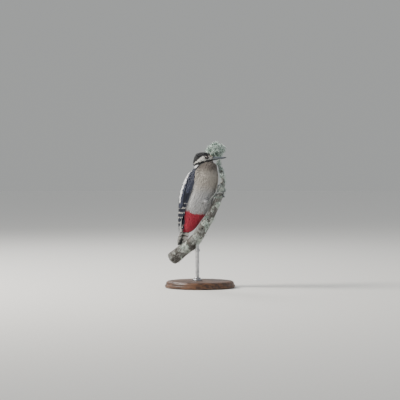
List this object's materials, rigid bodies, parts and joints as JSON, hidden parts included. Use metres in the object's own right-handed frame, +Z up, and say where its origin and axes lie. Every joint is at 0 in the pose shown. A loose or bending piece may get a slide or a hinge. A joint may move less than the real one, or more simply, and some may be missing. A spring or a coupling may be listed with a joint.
{
  "type": "great spotted woodpecker",
  "caption": "Life-size great spotted woodpecker, a female, clinging upright to a short cut branch with its head turned to its left, held by a rod on a round base.",
  "frame": {"origin": "centre of the underside of the round base, on the floor", "axes": "+X the way the bird's belly faces, towards the upper end of the branch; +Y the bird's left; +Z up"},
  "size_m": [0.1363, 0.132, 0.2733],
  "materials": {
    "black_plumage": "glossy blue-black feathers",
    "buff_plumage": "soft matt buff-grey feathers, crimson under the tail",
    "horn": "dark slate horn, satin",
    "eye": "dark red-brown, glossy",
    "leg_scales": "grey scaly skin, satin",
    "bark": "rough grey-brown bark",
    "lichen": "matt pale grey-green lichen",
    "base_wood": "dark stained wood, satin",
    "rod_steel": "satin steel"
  },
  "bodies": {
    "root": {"claw_left_1": "horn", "claw_left_2": "horn", "claw_left_3": "horn", "claw_left_4": "horn", "claw_right_1": "horn", "claw_right_2": "horn", "claw_right_3": "horn", "claw_right_4": "horn", "eye_left": "eye", "eye_right": "eye", "foot_left": "leg_scales", "foot_right": "leg_scales", "head": "black_plumage", "lower_bill": "horn", "neck": "black_plumage", "perch_branch": "bark", "perch_lichen": "lichen", "perch_twig": "bark", "stand_base": "base_wood", "stand_rod": "rod_steel", "tail": "black_plumage", "thigh_left": "buff_plumage", "thigh_right": "buff_plumage", "trunk": "buff_plumage", "upper_bill": "horn", "wing_left": "black_plumage", "wing_right": "black_plumage"}
  },
  "joints": []
}
